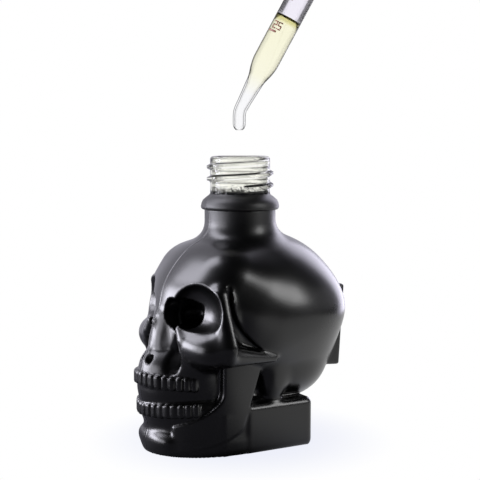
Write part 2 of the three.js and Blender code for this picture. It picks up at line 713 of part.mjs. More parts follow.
const dropper = new THREE.Group();
dropper.name = "dropper";
dropper.add(piece("pipette", pipette(), 0xe8f0ee, 0.05, 0.35));
dropper.add(piece("pipette_liquid", liquid(), 0xe6dc9a, 0.05, 0.7));
for (let i = 0; i < MARK_COUNT; i++)
  dropper.add(piece("mark_" + (i + 1), mark(MARK_FIRST + i * MARK_STEP), 0x8a3a2c, 0.5, 1));
dropper.add(piece("collar", collar(), 0x141416, 0.45, 1));
dropper.add(piece("bulb", bulb(), 0x1a1a1c, 0.7, 1));

// Turn local X to the heading of the lean, lean the axis that way, then place its seat along it.
const heading = new THREE.Quaternion().setFromAxisAngle(new THREE.Vector3(0, 0, 1), LEAN_HEADING);
const lean = new THREE.Quaternion().setFromAxisAngle(new THREE.Vector3(0, 1, 0), LEAN);
dropper.quaternion.copy(heading.multiply(lean));
const seat = PIPETTE_DEPTH - (AXIS_CROSS_ABOVE_RIM - TIP_ABOVE_RIM) / Math.cos(LEAN);
dropper.position.set(0, 0, seat).applyQuaternion(dropper.quaternion);
dropper.position.z += RIM_Z + AXIS_CROSS_ABOVE_RIM;
object.add(dropper);

export default object;
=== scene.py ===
"""Looks of a skull-shaped bitters bottle and the dropper held, leaning, over its open mouth."""
import math

import bpy
import numpy as np
from mathutils import Matrix, Vector


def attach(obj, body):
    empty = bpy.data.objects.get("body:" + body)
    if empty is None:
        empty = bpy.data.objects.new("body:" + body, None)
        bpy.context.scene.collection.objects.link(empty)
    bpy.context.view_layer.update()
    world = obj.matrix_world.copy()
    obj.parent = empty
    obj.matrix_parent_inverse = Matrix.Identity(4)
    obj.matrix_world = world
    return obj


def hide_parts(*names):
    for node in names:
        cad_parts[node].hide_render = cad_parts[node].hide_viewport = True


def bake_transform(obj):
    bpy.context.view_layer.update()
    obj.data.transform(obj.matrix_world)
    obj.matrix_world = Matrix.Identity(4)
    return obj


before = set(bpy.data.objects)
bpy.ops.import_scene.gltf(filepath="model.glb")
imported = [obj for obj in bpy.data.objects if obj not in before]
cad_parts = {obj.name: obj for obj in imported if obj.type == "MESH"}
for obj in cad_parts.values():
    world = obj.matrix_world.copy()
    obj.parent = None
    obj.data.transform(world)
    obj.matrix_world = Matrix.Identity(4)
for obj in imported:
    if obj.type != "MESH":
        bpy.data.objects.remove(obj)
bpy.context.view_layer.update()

# Sizes in millimetres, the same as the part's. The face looks toward -Y and +Z is up.
MM = 0.001
PLINTH = 1.6
SKULL_CENTRE_Y = 2
SKULL_CENTRE_Z = 35
SKULL_HALF = (21.5, 26.2, 20.6)
JAW_FRONT = 28.2
BLOCK_HALF_WIDTH = 15.6
BLOCK_HEIGHT = 11.4
PANEL_HALF_WIDTH = 7.6
PANEL_HEIGHT = 22.5
PANEL_Y = 28.3
PANEL_Z = 28.4
PANEL_LEAN = math.radians(4)
BROW_FRONT = 19.7
BROW_Z = 42
BROW_SLOPE = math.radians(31)
TOOTH_PITCH = 1.9
TEETH = 9
RIM_Z = 76.6
NECK_RADIUS = 8
BORE_RADIUS = 6.2
THREAD_RADIUS = 8.9
THREAD_PITCH = 3.175
THREAD_TURNS = 2.2
BEAD_RADIUS = 10.5
BEAD_TOP_Z = 66.6
BEAD_BOTTOM_Z = 62.4
SHANK_RADIUS = 9.5
LEAN = math.radians(28.3)
LEAN_HEADING = math.radians(60)
PIPETTE_DEPTH = 66
TIP_ABOVE_RIM = 8
AXIS_CROSS_ABOVE_RIM = 12.24
TUBE_RADIUS = 3.5
TUBE_BORE = 2.6
TIP_RADIUS = 1.7
TIP_BORE = 0.8
BEND_START = 6
BEND_END = 2.8
TUBE_ABOVE_SEAT = 7
LIQUID_LEVEL = 32
MARK_FIRST = 27
MARK_STEP = 9.4
MARK_TURN = math.radians(40)
COLLAR_RADIUS = 11.2
COLLAR_SKIRT = 10.6
COLLAR_TOP = 4
COLLAR_ROOF = 1.6
BULB_RADIUS = 8.2
BULB_TOP = 45
BULB_WALL = 1.8

# Sizes named here only, and the skull's cell, which is finer than the part's.
SKULL_CELL = 0.45
JAW_Y = -8
JAW_DEPTH = JAW_FRONT + JAW_Y
UPPER_JAW_Y = -11
EYE_SLANT = math.radians(22)
SHANK_BORE = BORE_RADIUS + 1.3

# The dropper's own frame: +Z is its axis and the origin is its seat. HELD places it over the mouth.
TIP_Z = -PIPETTE_DEPTH
SEAT_PAST_CROSSING = PIPETTE_DEPTH - (AXIS_CROSS_ABOVE_RIM - TIP_ABOVE_RIM) / math.cos(LEAN)
HELD = Matrix.Rotation(LEAN_HEADING, 4, "Z") @ Matrix.Rotation(LEAN, 4, "Y")
HELD.translation = HELD.to_3x3() @ Vector((0, 0, SEAT_PAST_CROSSING))
HELD.translation += Vector((0, 0, RIM_Z + AXIS_CROSS_ABOVE_RIM))


# Materials.
def linear(hex_colour):
    """An sRGB hex colour as linear RGBA."""
    parts = [int(hex_colour[i:i + 2], 16) / 255 for i in (1, 3, 5)]
    return [c / 12.92 if c <= 0.04045 else ((c + 0.055) / 1.055) ** 2.4 for c in parts] + [1.0]


def add(tree, kind, inputs=None, **settings):
    """A node of that kind, with its settings, and its inputs set to values or linked to sockets."""
    node = tree.nodes.new(kind)
    for name, value in settings.items():
        setattr(node, name, value)
    for name, value in (inputs or {}).items():
        if isinstance(value, bpy.types.NodeSocket):
            tree.links.new(value, node.inputs[name])
        else:
            node.inputs[name].default_value = value
    return node


def new_material(name):
    """An empty material, its node tree, its output and a position in millimetres on the piece."""
    material = bpy.data.materials.new(name)
    material.use_nodes = True
    tree = material.node_tree
    tree.nodes.clear()
    output = add(tree, "ShaderNodeOutputMaterial")
    place = add(tree, "ShaderNodeTexCoord").outputs["Object"]
    in_mm = add(tree, "ShaderNodeVectorMath", {0: place, 1: (1000, 1000, 1000)}, operation="MULTIPLY")
    return material, tree, output, in_mm.outputs[0]


def satin_black_lacquer():
    """Black lacquer sprayed on blown glass: soft broad highlights, a faint orange peel, uneven flow."""
    material, tree, output, mm = new_material("satin_black_lacquer_sprayed_on_glass")
    peel_size, flow_size, peel_depth = 1.1, 14, 0.012
    seam_half_width, seam_height, dull_from = 0.45, 0.12, BEAD_BOTTOM_Z - 8
    peel = add(tree, "ShaderNodeTexNoise", {"Vector": mm, "Scale": 1 / peel_size, "Detail": 2})
    flow = add(tree, "ShaderNodeTexNoise", {"Vector": mm, "Scale": 1 / flow_size, "Detail": 3})
    colour = add(tree, "ShaderNodeValToRGB", {"Fac": flow.outputs["Fac"]})
    colour.color_ramp.elements[0].position = 0.3
    colour.color_ramp.elements[0].color = linear("#020202")
    colour.color_ramp.elements[1].position = 0.75
    colour.color_ramp.elements[1].color = linear("#050505")
    sides = add(tree, "ShaderNodeSeparateXYZ", {0: mm})
    satin = add(tree, "ShaderNodeMapRange", {"Value": flow.outputs["Fac"], "To Min": 0.24, "To Max": 0.34})
    # The coat is duller up the shank and the bead.
    dull = add(tree, "ShaderNodeMapRange", {
        "Value": sides.outputs["Z"],
        "From Min": dull_from, "From Max": BEAD_BOTTOM_Z,
        "To Min": 0, "To Max": 0.2,
    })
    satin = add(tree, "ShaderNodeMath", {
        0: satin.outputs["Result"], 1: dull.outputs["Result"],
    }, operation="ADD")
    bump = add(tree, "ShaderNodeBump", {
        "Height": peel.outputs["Fac"], "Strength": 0.25, "Distance": peel_depth * MM,
    })
    # Seam of the mould, on the middle plane.
    off_seam = add(tree, "ShaderNodeMath", {0: sides.outputs["X"]}, operation="ABSOLUTE")
    seam = add(tree, "ShaderNodeMapRange", {
        "Value": off_seam.outputs[0], "From Min": 0, "From Max": seam_half_width, "To Min": 1, "To Max": 0,
    }, interpolation_type="SMOOTHSTEP")
    bump = add(tree, "ShaderNodeBump", {
        "Height": seam.outputs["Result"], "Strength": 1, "Distance": seam_height * MM,
        "Normal": bump.outputs["Normal"],
    })
    surface = add(tree, "ShaderNodeBsdfPrincipled", {
        "Base Color": colour.outputs["Color"],
        "Roughness": satin.outputs[0],
        "IOR": 1.5,
        "Normal": bump.outputs["Normal"],
    })
    tree.links.new(surface.outputs["BSDF"], output.inputs["Surface"])
    return material


def flint_glass():
    """Clear moulded glass of the neck: dark lines at its thread, and a wavy skin from the mould."""
    material, tree, output, mm = new_material("clear_flint_glass_moulded")
    wave_size, wave_depth, speck_size, speck_reach = 2.6, 0.1, 0.5, 3.4
    wave = add(tree, "ShaderNodeTexNoise", {"Vector": mm, "Scale": 1 / wave_size, "Detail": 2})
    bump = add(tree, "ShaderNodeBump", {
        "Height": wave.outputs["Fac"], "Strength": 0.2, "Distance": wave_depth * MM,
    })
    through = add(tree, "ShaderNodeBsdfRefraction", {
        "Color": linear("#fdfdfb"), "Roughness": 0.02, "IOR": 1.52, "Normal": bump.outputs["Normal"],
    })
    shine = add(tree, "ShaderNodeBsdfGlossy", {"Roughness": 0.05, "Normal": bump.outputs["Normal"]})
    edge = add(tree, "ShaderNodeFresnel", {"IOR": 1.25, "Normal": bump.outputs["Normal"]})
    # The bore hardly bends light, so that the thread alone draws lines.
    dry = add(tree, "ShaderNodeAttribute", attribute_name="dry")
    straight = add(tree, "ShaderNodeBsdfTransparent", {"Color": linear("#fdfdfa")})
    through = add(tree, "ShaderNodeMixShader", {
        0: dry.outputs["Fac"], 1: through.outputs[0], 2: straight.outputs[0],
    })
    clear = add(tree, "ShaderNodeMixShader", {
        0: edge.outputs[0], 1: through.outputs[0], 2: shine.outputs[0],
    })
    # Overspray of the lacquer, in specks that thin out above the bead.
    speck = add(tree, "ShaderNodeTexNoise", {
        "Vector": mm, "Scale": 1 / speck_size, "Detail": 3, "Roughness": 0.7,
    })
    height = add(tree, "ShaderNodeSeparateXYZ", {0: mm})
    fade = add(tree, "ShaderNodeMapRange", {
        "Value": height.outputs["Z"],
        "From Min": BEAD_TOP_Z, "From Max": BEAD_TOP_Z + speck_reach,
        "To Min": 0.36, "To Max": 0.75,
    })
    over = add(tree, "ShaderNodeMath", {
        0: speck.outputs["Fac"], 1: fade.outputs["Result"],
    }, operation="SUBTRACT")
    sprayed = add(tree, "ShaderNodeMapRange", {
        "Value": over.outputs[0], "From Min": 0, "From Max": 0.12, "To Max": 0.8,
    })
    paint = add(tree, "ShaderNodeBsdfDiffuse", {"Color": linear("#1c1d1f")})
    surface = add(tree, "ShaderNodeMixShader", {
        0: sprayed.outputs["Result"], 1: clear.outputs[0], 2: paint.outputs[0],
    })
    tree.links.new(surface.outputs[0], output.inputs["Surface"])
    return material


def drawn_glass():
    """Drawn and flame-worked tube: clear, a thin line of painted shade along its outer edges, faint drawn
    waves.
    """
    material, tree, output, mm = new_material("clear_glass_tube_drawn")
    wave_size, wave_depth = 5, 0.1
    wave = add(tree, "ShaderNodeTexNoise", {"Vector": mm, "Scale": 1 / wave_size, "Detail": 1})
    bump = add(tree, "ShaderNodeBump", {
        "Height": wave.outputs["Fac"], "Strength": 0.1, "Distance": wave_depth * MM,
    })
    through = add(tree, "ShaderNodeBsdfRefraction", {
        "Color": linear("#fefeff"), "Roughness": 0.0, "IOR": 1.47, "Normal": bump.outputs["Normal"],
    })
    # Painted shade: a dim grey reflection draws the dark line along the outer edges, and dims highlights
    # there too.
    shine = add(tree, "ShaderNodeBsdfGlossy", {"Color": linear("#4a4a48"), "Roughness": 0.02})
    edge = add(tree, "ShaderNodeFresnel", {"IOR": 1.47})
    # Where that painted dark edge line shows: grazing angles, on the outer skin only.
    line = add(tree, "ShaderNodeMapRange", {
        "Value": edge.outputs[0], "From Min": 0.06, "From Max": 0.3, "To Max": 0.9,
    })
    skin = add(tree, "ShaderNodeAttribute", attribute_name="outside")
    line = add(tree, "ShaderNodeMath", {
        0: line.outputs["Result"], 1: skin.outputs["Fac"],
    }, operation="MULTIPLY")
    # The dry bore hardly bends light, as in a tube with a thinner wall.
    dry = add(tree, "ShaderNodeAttribute", attribute_name="dry")
    straight = add(tree, "ShaderNodeBsdfTransparent", {"Color": linear("#fbfafd")})
    through = add(tree, "ShaderNodeMixShader", {
        0: dry.outputs["Fac"], 1: through.outputs[0], 2: straight.outputs[0],
    })
    surface = add(tree, "ShaderNodeMixShader", {
        0: line.outputs[0], 1: through.outputs[0], 2: shine.outputs[0],
    })
    tree.links.new(surface.outputs[0], output.inputs["Surface"])
    return material


def pale_bitters():
    """Pale yellow spirit bitters: clear in the thin tip, a deeper yellow where it creeps up the glass."""
    material, tree, output, mm = new_material("pale_yellow_bitters")
    axis = HELD.to_3x3().col[2]
    tip = axis.dot(HELD.translation) - PIPETTE_DEPTH
    along = add(tree, "ShaderNodeVectorMath", {0: mm, 1: axis}, operation="DOT_PRODUCT")
    cloud_size = 4
    cloud = add(tree, "ShaderNodeTexNoise", {"Vector": mm, "Scale": 1 / cloud_size, "Detail": 1})
    height = add(tree, "ShaderNodeMath", {
        0: along.outputs["Value"], 1: cloud.outputs["Fac"],
    }, operation="ADD")
    share = add(tree, "ShaderNodeMapRange", {
        "Value": height.outputs[0], "From Min": tip, "From Max": tip + LIQUID_LEVEL,
    })
    colour = add(tree, "ShaderNodeValToRGB", {"Fac": share.outputs["Result"]})
    ramp = colour.color_ramp.elements
    ramp[0].position, ramp[0].color = 0.3, linear("#fefefd")
    ramp[1].position, ramp[1].color = 0.5, linear("#fefdf0")
    for position, tint in ((0.95, "#fdfcec"), (0.985, "#eee9ae")):
        ramp.new(position).color = linear(tint)
    bent = add(tree, "ShaderNodeBsdfRefraction", {
        "Color": colour.outputs["Color"], "Roughness": 0.0, "IOR": 1.44,
    })
    straight = add(tree, "ShaderNodeBsdfTransparent", {"Color": colour.outputs["Color"]})
    through = add(tree, "ShaderNodeMixShader", {0: 0.15, 1: bent.outputs[0], 2: straight.outputs[0]})
    tree.links.new(through.outputs[0], output.inputs["Surface"])
    return material


def fired_enamel():
    """Red-brown enamel, screen printed and fired: slightly raised, with a grainy edge-worn colour."""
    material, tree, output, mm = new_material("red_brown_enamel_fired")
    grain_size = 0.3
    grain = add(tree, "ShaderNodeTexNoise", {"Vector": mm, "Scale": 1 / grain_size, "Detail": 2})
    colour = add(tree, "ShaderNodeValToRGB", {"Fac": grain.outputs["Fac"]})
    colour.color_ramp.elements[0].color = linear("#571f07")
    colour.color_ramp.elements[1].color = linear("#85390f")
    surface = add(tree, "ShaderNodeBsdfPrincipled", {
        "Base Color": colour.outputs["Color"],
        "Roughness": 0.4,
        "IOR": 1.5,
    })
    tree.links.new(surface.outputs["BSDF"], output.inputs["Surface"])
    return material


def moulded_polypropylene():
    """Black polypropylene, injection moulded with a fine spark-eroded grain of about 0.25 mm."""
    material, tree, output, mm = new_material("black_polypropylene_moulded")
    grain_size, grain_depth, haze_size = 0.25, 0.03, 7
    grain = add(tree, "ShaderNodeTexNoise", {"Vector": mm, "Scale": 1 / grain_size, "Detail": 2})
    haze = add(tree, "ShaderNodeTexNoise", {"Vector": mm, "Scale": 1 / haze_size, "Detail": 2})
    colour = add(tree, "ShaderNodeValToRGB", {"Fac": haze.outputs["Fac"]})
    colour.color_ramp.elements[0].color = linear("#111113")
    colour.color_ramp.elements[1].color = linear("#1b1b1d")
    rough = add(tree, "ShaderNodeMapRange", {"Value": haze.outputs["Fac"], "To Min": 0.38, "To Max": 0.5})
    bump = add(tree, "ShaderNodeBump", {
        "Height": grain.outputs["Fac"], "Strength": 0.4, "Distance": grain_depth * MM,
    })
    surface = add(tree, "ShaderNodeBsdfPrincipled", {
        "Base Color": colour.outputs["Color"],
        "Roughness": rough.outputs["Result"],
        "IOR": 1.49,
        "Normal": bump.outputs["Normal"],
    })
    tree.links.new(surface.outputs["BSDF"], output.inputs["Surface"])
    return material


def moulded_rubber():
    """Black moulded rubber: dull, with a bloom of paler haze and a fine grain of about 0.4 mm."""
    material, tree, output, mm = new_material("black_rubber_moulded")
    grain_size, grain_depth, bloom_size = 0.4, 0.05, 9
    grain = add(tree, "ShaderNodeTexNoise", {"Vector": mm, "Scale": 1 / grain_size, "Detail": 3})
    bloom = add(tree, "ShaderNodeTexNoise", {"Vector": mm, "Scale": 1 / bloom_size, "Detail": 4})
    colour = add(tree, "ShaderNodeValToRGB", {"Fac": bloom.outputs["Fac"]})
    colour.color_ramp.elements[0].color = linear("#141415")
    colour.color_ramp.elements[1].color = linear("#262628")
    rough = add(tree, "ShaderNodeMapRange", {"Value": bloom.outputs["Fac"], "To Min": 0.6, "To Max": 0.8})
    bump = add(tree, "ShaderNodeBump", {
        "Height": grain.outputs["Fac"], "Strength": 0.35, "Distance": grain_depth * MM,
    })
    surface = add(tree, "ShaderNodeBsdfPrincipled", {
        "Base Color": colour.outputs["Color"],
        "Roughness": rough.outputs["Result"],
        "IOR": 1.52,
        "Normal": bump.outputs["Normal"],
    })
    tree.links.new(surface.outputs["BSDF"], output.inputs["Surface"])
    return material


# Mesh helpers; points are in millimetres.
def loose_piece(name, points, faces, material, turn=None):
    """A smooth-shaded piece with the material that it is given."""
    points = np.asarray(points, float)
    if turn is not None:
        points = points @ np.array(turn.to_3x3()).T + np.array(turn.translation)
    mesh = bpy.data.meshes.new(name)
    mesh.from_pydata((points * MM).tolist(), [], [list(map(int, f)) for f in faces])
    mesh.validate()
    mesh.update()
    mesh.shade_smooth()
    mesh.materials.append(material)
    made = bpy.data.objects.new(name, mesh)
    bpy.context.scene.collection.objects.link(made)
    return made


def piece(name, points, faces, body, slot, material, turn=None):
    """A piece that rides on one body."""
    made = loose_piece(name, points, faces, material, turn)
    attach(made, body)
    return made


def weigh(made, name, rings, around):
    """A named weight on each point of a piece made of rings, one value for each ring."""
    weight = made.data.attributes.new(name, "FLOAT", "POINT")
    weight.data.foreach_set("value", [float(value) for value in rings for _ in range(around)])


def ring_faces(rings, around, loop):
    """Quads over rings of points; a loop joins the last ring to the first, else both ends are capped."""
    faces = []
    for i in range(rings if loop else rings - 1):
        a, b = i * around, ((i + 1) % rings) * around
        for j in range(around):
            k = (j + 1) % around
            faces.append((a + j, a + k, b + k, b + j))
    if not loop:
        faces.append(tuple(range(around - 1, -1, -1)))
        faces.append(tuple(range((rings - 1) * around, rings * around)))
    return faces


def level_ring(radius, angle, z):
    """Points of a level ring; the radius is one number, or one for each angle."""
    return list(zip(radius * np.cos(angle), radius * np.sin(angle), np.full(len(angle), z)))


def turned(profile, around):
    """Points and faces of a profile of (radius, height) turned about Z; the profile is a closed loop."""
    angle = np.linspace(0, 2 * np.pi, around, endpoint=False)
    points = [point for radius, z in profile for point in level_ring(radius, angle, z)]
    return points, ring_faces(len(profile), around, True)


def smooth_line(points, steps):
    """A Catmull-Rom line through points, with that many steps between each two."""
    p = np.asarray(points, float)
    p = np.vstack([2 * p[0] - p[1], p, 2 * p[-1] - p[-2]])
    line = []
    for i in range(1, len(p) - 2):
        for t in np.arange(steps) / steps:
            line.append(0.5 * (2 * p[i] + (p[i + 1] - p[i - 1]) * t
                               + (2 * p[i - 1] - 5 * p[i] + 4 * p[i + 1] - p[i + 2]) * t ** 2
                               + (3 * p[i] - p[i - 1] - 3 * p[i + 1] + p[i + 2]) * t ** 3))
    line.append(p[-2])
    return np.array(line)


# Distance fields over arrays of points, negative inside.
def ellipsoid(p, centre, half):
    """An ellipsoid, or the endless upright wall of an oval where only two half sizes are given."""
    q = [(p[i] - centre[i]) / half[i] for i in range(len(half))]
    length = np.sqrt(sum(v ** 2 for v in q))
    slope = np.sqrt(sum((v / h) ** 2 for v, h in zip(q, half)))
    return length * (length - 1) / np.maximum(slope, 1e-9)


def box(p, centre, half, edge):
    """A box with rounded edges."""
    q = [np.abs(p[i] - centre[i]) - half[i] + edge for i in range(3)]
    outside = np.sqrt(sum(np.maximum(v, 0) ** 2 for v in q))
    return outside + np.minimum(np.maximum(np.maximum(q[0], q[1]), q[2]), 0) - edge


def bar(p, start, end, start_radius, end_radius):
    """A round bar that tapers between two points."""
    d = [end[i] - start[i] for i in range(3)]
    v = [p[i] - start[i] for i in range(3)]
    share = np.clip((v[0] * d[0] + v[1] * d[1] + v[2] * d[2]) / sum(x * x for x in d), 0, 1)
    away = np.sqrt(sum((v[i] - share * d[i]) ** 2 for i in range(3)))
    return away - start_radius - share * (end_radius - start_radius)


def drum(p, centre, half, bottom, top, edge):
    """An upright oval drum with soft edges."""
    level = np.abs(p[2] - (bottom + top) / 2) - (top - bottom) / 2
    return cut(ellipsoid(p, centre, half), level, edge)


def blend(a, b, soft):
    """Two shapes joined, with a fillet between them."""
    h = np.maximum(soft - np.abs(a - b), 0) / soft
    return np.minimum(a, b) - h * h * soft / 4


def cut(a, b, soft):
    """What two shapes share, with a soft edge."""
    return -blend(-a, -b, soft)


def carve(a, b, soft):
    """A shape with another taken out of it, with a soft edge."""
    return cut(a, -b, soft)


def slanted(a, b, angle):
    """Two coordinates turned by an angle in their plane."""
    c, s = math.cos(angle), math.sin(angle)
    return a * c - b * s, a * s + b * c


# The skull, in steps: each takes the field so far and changes it. X is folded, so one side is drawn.
def cranium(p):
    """Cranium, the wide back of the head, its underside, and the flat forehead that slopes back."""
    cz = SKULL_CENTRE_Z
    f = ellipsoid(p, (0, SKULL_CENTRE_Y, cz), SKULL_HALF)
    for centre, half, soft in (
        ((5, 7, cz - 1), (16.2, 21, 14), 3),
        ((0, 10, cz - 8.5), (16.5, 17.4, 17), 4),
        ((0, 9, cz - 17), (15, 14, 9), 3),
    ):
        f = blend(f, ellipsoid(p, centre, half), soft)
    inward, up = slanted(p[1] + BROW_FRONT, p[2] - BROW_Z, BROW_SLOPE)
    forehead = box((p[0], up, -inward), (0, 4, -11), (18.5, 10, 11), 8)
    return blend(f, forehead, 5)


def temples(f, p):
    """Outer post of the eye socket, and behind it a flat facet that widens downward."""
    f = blend(f, bar(p, (17.6, -15.9, 40.4), (20.3, -14.6, 28), 2.2, 3), 2.5)
    top, depth, bottom = 41, 16, 22
    down = np.clip((top - p[2]) / depth, 0, 1.2)
    facet = 0.963 * (p[0] - 18.2) - 0.22 * (p[1] + 2.7) - 0.152 * (p[2] - 25)
    front = -14.7 + 1.1 * down - p[1]
    rear = p[1] + 13.4 - 10.9 * down ** 2.2
    wedge = np.maximum(np.maximum(-facet, front), np.maximum(bottom - p[2], rear))
    return carve(f, wedge, 0.3)


def jaws(f, p):
    """Upper jaw, cheek, the lower jaw in three tiers, and the chin; the mouth is the groove between."""
    f = blend(f, drum(p, (0, UPPER_JAW_Y), (12.8, 18.2), 10, 24.6, 6), 2)
    f = blend(f, ellipsoid(p, (14.2, -16.5, 26.8), (7, 6.2, 5.2)), 2.5)
    f = blend(f, bar(p, (9, -18, 27), (7.4, -17.4, 21), 5.4, 4.4), 4)
    underside = -PLINTH - 2
    for half, bottom, top, edge, soft in (
        ((15.4, JAW_DEPTH), underside, 4, 2.4, 1.2),
        ((14, JAW_DEPTH - 0.4), underside, 12, 2, 1),
        ((14.4, JAW_DEPTH + 0.4), 7.4, 12, 2.4, 2),
    ):
        f = blend(f, drum(p, (0, JAW_Y), half, bottom, top, edge), soft)
    chin = ellipsoid(p, (2.5, 3.2 - JAW_FRONT, 2), (6, 3, 2.6))
    return blend(f, chin, 1.5)


def rest_block(f, p):
    """Block that the head rests on, and two boxes that fill in between it and the lower jaw."""
    half_height = (BLOCK_HEIGHT + PLINTH) / 2 + 1
    half = (BLOCK_HALF_WIDTH, 10.4, half_height)
    f = blend(f, box(p, (0, 3.2, BLOCK_HEIGHT - half_height), half, 1.8), 0.5)
    f = blend(f, box(p, (0, JAW_Y, 8), (12, 8, 7), 1), 1)
    return blend(f, box(p, (0, JAW_Y, 3), (15.2, 6, 7), 1.5), 0.5)


def eye_sockets(f, p):
    """A wide arched dish with a level floor, and a deeper slanted hole beside the nose."""
    floor_z = 31.4
    dish = ellipsoid(p, (14.9, -21.8, 36.4), (9.3, 6, 7.6))
    f = carve(f, cut(dish, floor_z - p[2], 2.5), 0.5)
    hole_x, hole_z, hole_end_x = 6, 35.3, 10.2
    across, up = slanted(p[0] - hole_x, p[2] - hole_z, EYE_SLANT)
    hole = box((across, p[1], up), (0.6, -18.4, -0.4), (4.8, 6, 3.8), 2.6)
    return carve(f, cut(hole, p[0] - hole_end_x, 1), 0.3)


def nose(f, p):
    """Nose, the hollow beside it, the point on the eye socket's lower rim there, and the thin ridge."""
    for start, end, start_radius, end_radius, soft in (
        ((0, -18.4, 40), (0, -21.8, 33), 1.6, 3.4, 1.5),
        ((0, -21.8, 33), (0, -21.6, 27), 3.4, 4.2, 1),
        ((0, -21.6, 27), (0, -22.6, 16), 4, 5.6, 4),
        ((0, -20.4, 36), (2.9, -21.6, 27), 2, 2.9, 1),
    ):
        f = blend(f, bar(p, start, end, start_radius, end_radius), soft)
    hollow = ellipsoid(p, (8, -24.4, 25.4), (1.8, 4.2, 5.4))
    f = carve(f, hollow, 1)
    rim_point = bar(p, (9.8, -22.1, 29), (8.3, -22.7, 31.7), 1.7, 0.8)
    f = blend(f, rim_point, 1.2)
    # Points down the ridge, each with its radius.
    ridge = [((0, -19.4, 39.6), 0.6), ((0, -25.2, 32.6), 0.7), ((0, -25.2, 28), 0.7), ((0, -28, 22.4), 0.8)]
    for (start, start_radius), (end, end_radius) in zip(ridge, ridge[1:]):
        f = blend(f, bar(p, start, end, start_radius, end_radius), 0.8)
    return f


def jaw_sides(f, p):
    """Cheek arch, the side plate of the lower jaw below it, and the knob behind the plate."""
    f = blend(f, bar(p, (18.4, -13.6, 25.4), (18.4, -0.6, 23.6), 3, 0.9), 1.5)
    front = -13.4 - 0.155 * np.maximum(0, 15 - p[2]) ** 2
    rear = -4.4 + 0.38 * (p[2] - 14.4) - 0.35 * np.maximum(0, 6 - p[2]) ** 2
    skin = drum(p, (0, JAW_Y), (15.6, JAW_DEPTH - 0.2), -2, 25, 1.5)
    plate = cut(skin, np.maximum(front - p[1], p[1] - rear), 0.6)
    inner_x = 8
    f = blend(f, cut(plate, inner_x - p[0], 1), 0.5)
    knob = ellipsoid(p, (13, 2.4, 17.6), (3.2, 4, 6.4))
    return blend(f, knob, 2)


def nostril_and_teeth(f, p):
    """Nostril, and the upper and lower rows of teeth."""
    nostril = ellipsoid(p, (2, -28, 23.2), (1, 1.6, 1.2))
    f = carve(f, nostril, 0.4)
    f = blend(f, teeth(p, UPPER_JAW_Y, (13, 18.8), 18.3, -0.06), 0.3)
    return blend(f, teeth(p, JAW_Y, (14.6, JAW_DEPTH + 0.8), 10, 0.05), 0.3)


def teeth(p, centre_y, arch, middle_z, rise):
    """A row of teeth at an even pitch, out from the middle along an oval arch that rises or falls."""
    wide, deep = arch
    turn = np.linspace(0, math.pi / 2, 200)
    step = np.hypot(wide * np.cos(turn), deep * np.sin(turn)) * (turn[1] - turn[0])
    length = np.concatenate([[0], np.cumsum(step)[:-1]])
    far = np.interp(np.arctan2(p[0] / wide, -(p[1] - centre_y) / deep), turn, length)
    last = TEETH * TOOTH_PITCH
    along = np.where(far < last, far % TOOTH_PITCH - TOOTH_PITCH / 2, far - last + TOOTH_PITCH / 2)
    across = ellipsoid(p, (0, centre_y), arch)
    height = p[2] - middle_z - rise * np.minimum(far, last)
    tooth_half = (0.44 * TOOTH_PITCH, 0.75, 1.75)
    return box((along, across, height), (0, 0, 0), tooth_half, 0.5)


def back_panel(f, p):
    """Flat bare panel at the back of the head."""
    y, z = slanted(p[1] - PANEL_Y, p[2] - PANEL_Z, PANEL_LEAN)
    half_depth = 6
    half = (PANEL_HALF_WIDTH, half_depth, PANEL_HEIGHT / 2)
    return blend(f, box((p[0], y, z), (0, -half_depth, 0), half, 0.7), 0.4)


def shank_and_foot(f, p):
    """Shank of the neck, then the rounded foot and its flat base."""
    low, high, round_off = 45, BEAD_BOTTOM_Z - PLINTH + 0.5, 0.6
    f = blend(f, drum(p, (0, 0), (SHANK_RADIUS, SHANK_RADIUS), low, high, 0.4), 4)
    f = cut(f, -p[2] - PLINTH - round_off, 2.4)
    return np.maximum(f, -p[2] - PLINTH)


def skull_outside(p):
    """The lacquered outside: head, jaws and block."""
    f = cranium(p)
    for step in (temples, jaws, rest_block, eye_sockets, nose, jaw_sides,
                 nostril_and_teeth, back_panel, shank_and_foot):
        f = step(f, p)
    return f


def skull_inside(p):
    """The hollow that holds the bitters, open through the neck."""
    side_wall, roof_wall = 5, 4.2
    half = (SKULL_HALF[0] - side_wall, 17.4, SKULL_HALF[2] - roof_wall)
    f = ellipsoid(p, (0, 5, SKULL_CENTRE_Z), half)
    f = blend(f, ellipsoid(p, (0, 1, 15.4), (12, 10.4, 12.6)), 4)
    throat = drum(p, (0, 0), (SHANK_BORE, SHANK_BORE), 40, BEAD_BOTTOM_Z - PLINTH + 4, 0.5)
    return blend(f, throat, 5)


def skull_field(x, y, z):
    """The skull's glass, its outside less its hollow; mirrored in X, with heights from the plinth up."""
    p = (np.abs(x), y, z - PLINTH)
    return np.maximum(skull_outside(p), -skull_inside(p))


